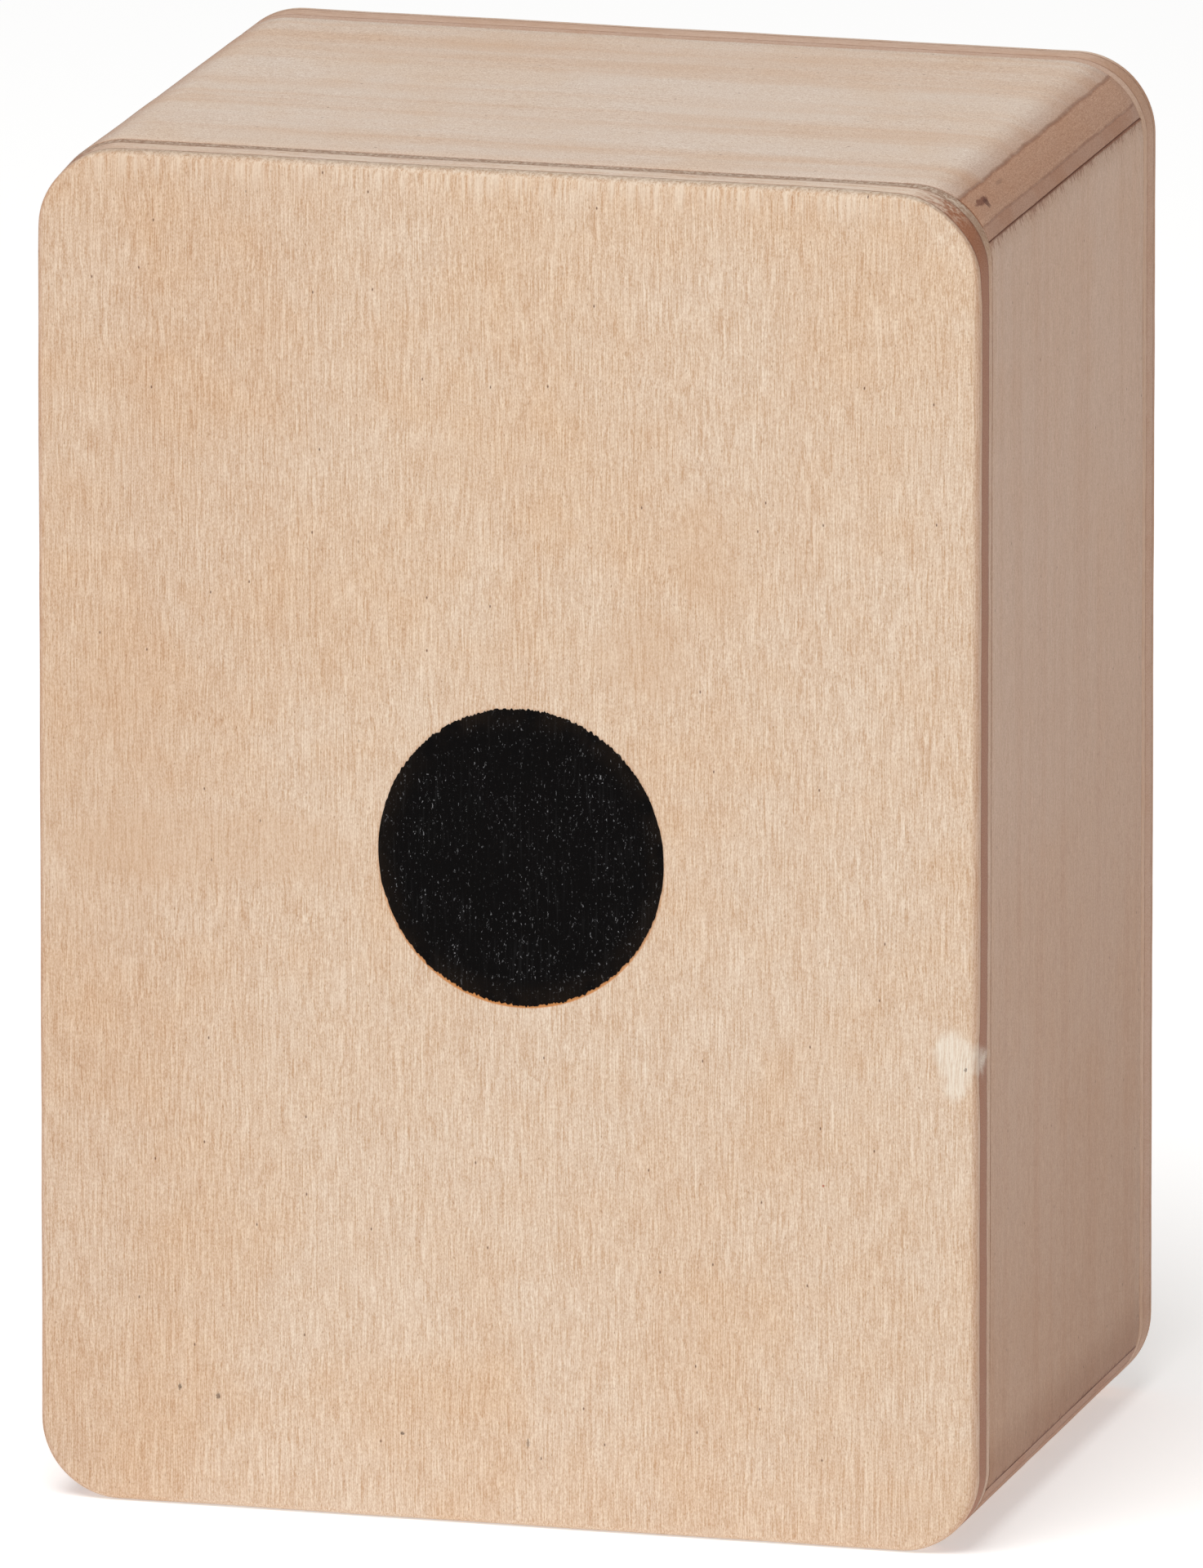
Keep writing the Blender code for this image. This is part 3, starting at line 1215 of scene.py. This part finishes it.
    def build_end(self, name: str, facing: Facing, finish: BirchPly,
                  marks: Sequence[Mark] = ()) -> bpy.types.Object:
        """Build the top or the bottom, which run out in the rounded corners.

        Args:
            name: The board's name, which is its CAD node's too.
            facing: TOP or BOTTOM.
            finish: Its wood.
            marks: Blemishes on its face.

        Returns:
            The board.
        """
        sizes = self.sizes
        bm = self.block(-sizes.inner_depth, sizes.inner_depth)
        outer = sizes.high.z if facing is Facing.TOP else -sizes.low.z
        inward = tuple(-part for part in facing.value)
        joint = -(outer - sizes.board)
        self.keep(bm, inward, joint)
        self.soften(bm, [(inward, joint)], self.sawn_arris, self.sawn_steps)
        self.soften(bm, sizes.glued_planes, self.sawn_arris, self.sawn_steps)
        self.slice(bm, (Grain.ACROSS.value, Grain.DEEP.value))
        self.sand(bm, finish.seed)
        board = Board(facing, outer, Grain.ACROSS, sizes.board)
        seams = (Seam(inward, joint, width=0.12 * MM),
                 Seam(Facing.FRONT.value, sizes.inner_depth, width=0.14 * MM),
                 Seam(Facing.BACK.value, sizes.inner_depth, width=0.2 * MM, strength=0.3))
        return self.placed(name, bm, finish.material(board, marks, seams))

    def build_side(self, name: str, facing: Facing, finish: BirchPly) -> bpy.types.Object:
        """Build a side, which stands between the top and the bottom.

        Args:
            name: The board's name, which is its CAD node's too.
            facing: LEFT or RIGHT.
            finish: Its wood.

        Returns:
            The board.
        """
        sizes = self.sizes
        bm = self.block(-sizes.inner_depth, sizes.inner_depth)
        top = sizes.high.z - sizes.board - sizes.seam_gap
        bottom = -(sizes.low.z + sizes.board + sizes.seam_gap)
        inward = tuple(-part for part in facing.value)
        self.keep(bm, Facing.TOP.value, top)
        self.keep(bm, Facing.BOTTOM.value, bottom)
        self.keep(bm, inward, -(sizes.high.x - sizes.board))
        self.soften(bm, [(Facing.TOP.value, top), (Facing.BOTTOM.value, bottom)], self.sawn_arris,
                    self.sawn_steps)
        self.soften(bm, sizes.glued_planes, self.sawn_arris, self.sawn_steps)
        self.slice(bm, (Grain.DEEP.value, Grain.UPRIGHT.value))
        self.sand(bm, finish.seed)
        board = Board(facing, sizes.high.x, Grain.UPRIGHT, sizes.board)
        seams = (Seam(Facing.TOP.value, top, width=0.14 * MM, tear=1.0 * MM),
                 Seam(Facing.BOTTOM.value, bottom, width=0.12 * MM, tear=0.6 * MM),
                 Seam(Facing.FRONT.value, sizes.inner_depth, width=0.1 * MM, strength=0.5),
                 Seam(Facing.BACK.value, sizes.inner_depth, width=0.12 * MM, strength=0.15))
        return self.placed(name, bm, finish.material(board, (), seams))

    def placed(self, name: str, bm: bmesh.types.BMesh, material: bpy.types.Material) -> bpy.types.Object:
        """Add a board in place of its CAD node.

        Args:
            name: The CAD node's name.
            bm: The board's shape.
            material: Its material.

        Returns:
            The board.
        """
        piece = add_piece(name + "_board", bm, material)
        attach(piece, "box")
        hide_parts(name)
        return piece


@dataclass
class PrintedHole:
    """The black disc printed where a full-size cajon has its sound hole.

    Attributes:
        film: The ink's thickness.
        narrow: The print's width, as a share of its node's.
        short: Its height, as a share of its node's.
        steps: The points around its edge.
        bleed: How far the ink creeps along single fibres.
        fibre: The width and the length of those fibres.
        blot: The size of the edge's broader unevenness.
    """

    film: float = 0.02 * MM
    narrow: float = 0.966
    short: float = 0.995
    steps: int = 900
    bleed: float = 0.17 * MM
    fibre: tuple[float, float] = (0.16 * MM, 6.0 * MM)
    blot: float = 1.3 * MM

    def __post_init__(self) -> None:
        """Read the print's place and radius from its CAD node."""
        low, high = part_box("sound_hole_print")
        self.centre = (low + high) / 2
        self.radius = (high.x - low.x) / 2

    def build(self) -> bpy.types.Object:
        """Build the print as a thin film whose edge follows the fibres."""
        bm = bmesh.new()
        bmesh.ops.create_circle(bm, cap_ends=True, segments=self.steps, radius=self.radius)
        stand_up = Matrix.Rotation(math.radians(90.0), 4, "X")
        bmesh.ops.transform(bm, matrix=stand_up, verts=bm.verts)
        for vert in bm.verts:
            vert.co += self.creep(vert.co)
        bmesh.ops.scale(bm, vec=(self.narrow, 1.0, self.short), verts=bm.verts)
        face_y = CAD_BOX[0].y
        bmesh.ops.translate(bm, vec=(self.centre.x, face_y - self.film, self.centre.z), verts=bm.verts)
        extruded = bmesh.ops.extrude_face_region(bm, geom=bm.faces[:])
        moved = [part for part in extruded["geom"] if isinstance(part, bmesh.types.BMVert)]
        bmesh.ops.translate(bm, vec=(0.0, 2 * self.film, 0.0), verts=moved)
        piece = add_piece("sound_hole_ink", bm, PrintInk().material(self.centre, self.radius))
        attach(piece, "box")
        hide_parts("sound_hole_print")
        return piece

    def creep(self, point: Vector) -> Vector:
        """Return how far the ink has crept at a point of its edge.

        Args:
            point: The point, about the print's middle.

        Returns:
            The creep, mostly along the fibres.
        """
        wide, long = self.fibre
        along = noise.noise(Vector((point.x / wide, 0.0, point.z / long)))
        broad = noise.noise(Vector((point.x / self.blot, 3.0, point.z / self.blot)))
        outward = point.normalized()
        lift = Vector((0.0, 0.0, math.copysign(1.0, point.z))) * along * self.bleed
        return lift * abs(outward.z) ** 0.5 + outward * (broad * 0.5 + along * 0.35) * self.bleed * 0.6


@dataclass
class LooseFill:
    """The loose steel shot on the cavity's floor.

    Attributes:
        flats: How far a ball's surface is worn, at most.
        rounds: How often the ball's starting shape is divided.
    """

    flats: float = 0.012 * MM
    rounds: int = 3

    def build(self) -> list[bpy.types.Object]:
        """Build every ball in place of its CAD node."""
        material = SteelShot().material()
        pieces = []
        for name in sorted(frame["record"]["behaviour"]["bodies"]["fill"]):
            low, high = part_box(name)
            bm = bmesh.new()
            bmesh.ops.create_icosphere(bm, subdivisions=self.rounds, radius=(high.z - low.z) / 2)
            for vert in bm.verts:
                vert.co *= 1.0 - self.flats / MM * abs(noise.noise(vert.co / MM))
            bmesh.ops.translate(bm, vec=(low + high) / 2, verts=bm.verts)
            piece = add_piece(name.replace("pellet", "steel_ball"), bm, material, math.radians(80.0))
            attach(piece, "fill")
            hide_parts(name)
            pieces.append(piece)
        return pieces


@dataclass
class Lamp:
    """One soft area lamp that is aimed at the box.

    Attributes:
        name: The lamp's name.
        azimuth: Its bearing about the box, in degrees, with 0 in front and 90 on the right.
        elevation: Its height above the horizon, in degrees.
        distance: Its distance from the box.
        size: The side of its square.
        power: Its power in watts.
        colour: Its colour.
    """

    name: str
    azimuth: float
    elevation: float
    distance: float
    size: float
    power: float
    colour: Colour = (1.0, 1.0, 1.0)


@dataclass
class Studio:
    """The pale table, the soft lights and the camera.

    Attributes:
        azimuth: The camera's bearing about the box, in degrees, with 0 in front.
        elevation: The camera's height above the horizon, in degrees.
        distance: The camera's distance from the box's middle.
        lens: The lens's focal length, in mm.
        aim_right: How far right of the box's middle the camera aims.
        aim_up: How far above it the camera aims.
        clip: The nearest and the farthest distance that the camera sees.
        ambient: The strength of the room's light.
        table: Half the side of the table.
        table_gap: How far below the box the table lies.
        lamps: The lamps.
    """

    azimuth: float = 15.06
    elevation: float = 13.16
    distance: float = 2.51
    lens: float = 793.8
    aim_right: float = 0.0001
    aim_up: float = -0.0008
    clip: tuple[float, float] = (0.05, 20.0)
    ambient: float = 0.30
    table: float = 6.0
    table_gap: float = 0.05 * MM
    lamps: tuple[Lamp, ...] = (
        Lamp("key_lamp", -10.0, 62.0, distance=1.5, size=1.0, power=15.5, colour=(1.0, 0.99, 0.975)),
    )

    def direction(self, azimuth: float, elevation: float) -> Vector:
        """Return the direction from the box towards a bearing and a height, both in degrees."""
        turn, lift = math.radians(azimuth), math.radians(elevation)
        return Vector((math.sin(turn) * math.cos(lift), -math.cos(turn) * math.cos(lift), math.sin(lift)))

    def middle(self) -> Vector:
        """Return the middle of the box."""
        return (CAD_BOX[0] + CAD_BOX[1]) / 2

    def build(self) -> None:
        """Build everything that isn't part of the object."""
        self.add_floor()
        self.add_camera()
        for lamp in self.lamps:
            self.add_lamp(lamp)
        world = bpy.data.worlds.new("soft_room")
        world.use_nodes = True
        sky = world.node_tree.nodes["Background"]
        sky.inputs["Color"].default_value = (1.0, 1.0, 1.0, 1.0)
        sky.inputs["Strength"].default_value = self.ambient
        scene = bpy.context.scene
        scene.world = world
        scene.view_settings.view_transform = "Standard"
        scene.view_settings.look = "None"

    def add_floor(self) -> None:
        """Add the table that the box stands on."""
        bm = bmesh.new()
        bmesh.ops.create_grid(bm, x_segments=1, y_segments=1, size=self.table)
        bmesh.ops.translate(bm, vec=(0.0, 0.0, CAD_BOX[0].z - self.table_gap), verts=bm.verts)
        floor = add_piece("pale_table", bm, PaleFloor().material())

    def add_camera(self) -> None:
        """Add the camera at the viewing angle."""
        back = self.direction(self.azimuth, self.elevation)
        data = bpy.data.cameras.new("camera")
        data.lens = self.lens
        data.clip_start, data.clip_end = self.clip
        camera = bpy.data.objects.new("camera", data)
        bpy.context.scene.collection.objects.link(camera)
        facing = (-back).to_track_quat("-Z", "Y")
        right = facing @ Vector((1.0, 0.0, 0.0))
        up = facing @ Vector((0.0, 1.0, 0.0))
        aim = self.middle() + right * self.aim_right + up * self.aim_up
        camera.location = aim + back * self.distance
        camera.rotation_mode = "QUATERNION"
        camera.rotation_quaternion = facing
        bpy.context.scene.camera = camera

    def add_lamp(self, lamp: Lamp) -> None:
        """Add one lamp, aimed at the box."""
        data = bpy.data.lights.new(lamp.name, "AREA")
        data.size = lamp.size
        data.energy = lamp.power
        data.color = lamp.colour
        holder = bpy.data.objects.new(lamp.name, data)
        bpy.context.scene.collection.objects.link(holder)
        back = self.direction(lamp.azimuth, lamp.elevation)
        holder.location = self.middle() + back * lamp.distance
        holder.rotation_mode = "QUATERNION"
        holder.rotation_quaternion = (-back).to_track_quat("-Z", "Y")


DIRT, RED_INK, TAN = (0.07, 0.035, 0.02), (0.45, 0.10, 0.04), (0.66, 0.43, 0.27)
# The front's blemishes: a pale chip, specks of dirt, a red dot and four tan clouds.
FRONT_MARKS = (
    Mark(0.0334, 0.0365, 0.0017, 0.0031, (0.88, 0.79, 0.67), 0.85, 0.5),
    Mark(0.0341, 0.0360, 0.00013, 0.0002, DIRT),
    Mark(-0.0245, 0.0088, 0.00018, 0.0003, DIRT),
    Mark(-0.0216, 0.0083, 0.0002, 0.0003, DIRT),
    Mark(-0.0078, 0.0064, 0.0002, 0.00015, DIRT),
    Mark(0.0016, 0.0063, 0.00012, 0.0004, DIRT, 0.6),
    Mark(0.0236, 0.0268, 0.00012, 0.00013, RED_INK),
    Mark(-0.0225, 0.0490, 0.0130, 0.0034, TAN, 0.34, 0.5),
    Mark(-0.0300, 0.0520, 0.0070, 0.0160, TAN, 0.20, 0.5),
    Mark(0.0105, 0.0650, 0.0045, 0.0040, TAN, 0.30, 0.5),
    Mark(0.0155, 0.0725, 0.0035, 0.0060, TAN, 0.22, 0.5),
)
# A gouge in the top's rounded end, painted only: its dark marks are painted shade of a hollow that the
# board's shape doesn't have.
TOP_PAINTED_GOUGE = (
    Mark(0.0333, -0.0188, 0.00024, 0.0018, (0.16, 0.045, 0.025), 0.85, 0.25),
    Mark(0.0335, -0.0181, 0.00030, 0.0006, (0.10, 0.03, 0.02), 0.8, 0.25),
    Mark(0.0331, -0.0130, 0.00014, 0.0012, (0.27, 0.15, 0.10), 0.5, 0.35),
)
# The chip's hollow, and the front's upper corners, which are sanded rounder than the rest.
FRONT_DENTS = (
    Dent((0.0350, -0.026, 0.0362), (0.0014, 0.0016, 0.0028), 0.16 * MM),
    Dent((0.0335, -0.026, 0.0985), (0.0042, 0.0022, 0.0042), 0.62 * MM),
    Dent((-0.0335, -0.026, 0.0985), (0.0035, 0.0020, 0.0035), 0.25 * MM),
)


def main() -> None:
    """Build the shaker and its studio."""
    logging.basicConfig(level=logging.INFO, format="%(name)s: %(message)s")
    box = PlywoodBox(BoxSizes())
    hole = PrintedHole()
    halo = Halo(hole.centre.x, hole.centre.z, hole.radius, hole.narrow)
    box.build_face("front_panel", Facing.FRONT, FRONT_BIRCH, FRONT_MARKS, halo,
                   FRONT_DENTS)
    box.build_face("back_panel", Facing.BACK, BACK_BIRCH)
    box.build_end("top_panel", Facing.TOP, TOP_BIRCH, TOP_PAINTED_GOUGE)
    box.build_end("bottom_panel", Facing.BOTTOM, BOTTOM_BIRCH)
    box.build_side("left_panel", Facing.LEFT, LEFT_BIRCH)
    box.build_side("right_panel", Facing.RIGHT, RIGHT_BIRCH)
    hole.build()
    LooseFill().build()
    Studio().build()


if __name__ == "__main__":
    main()
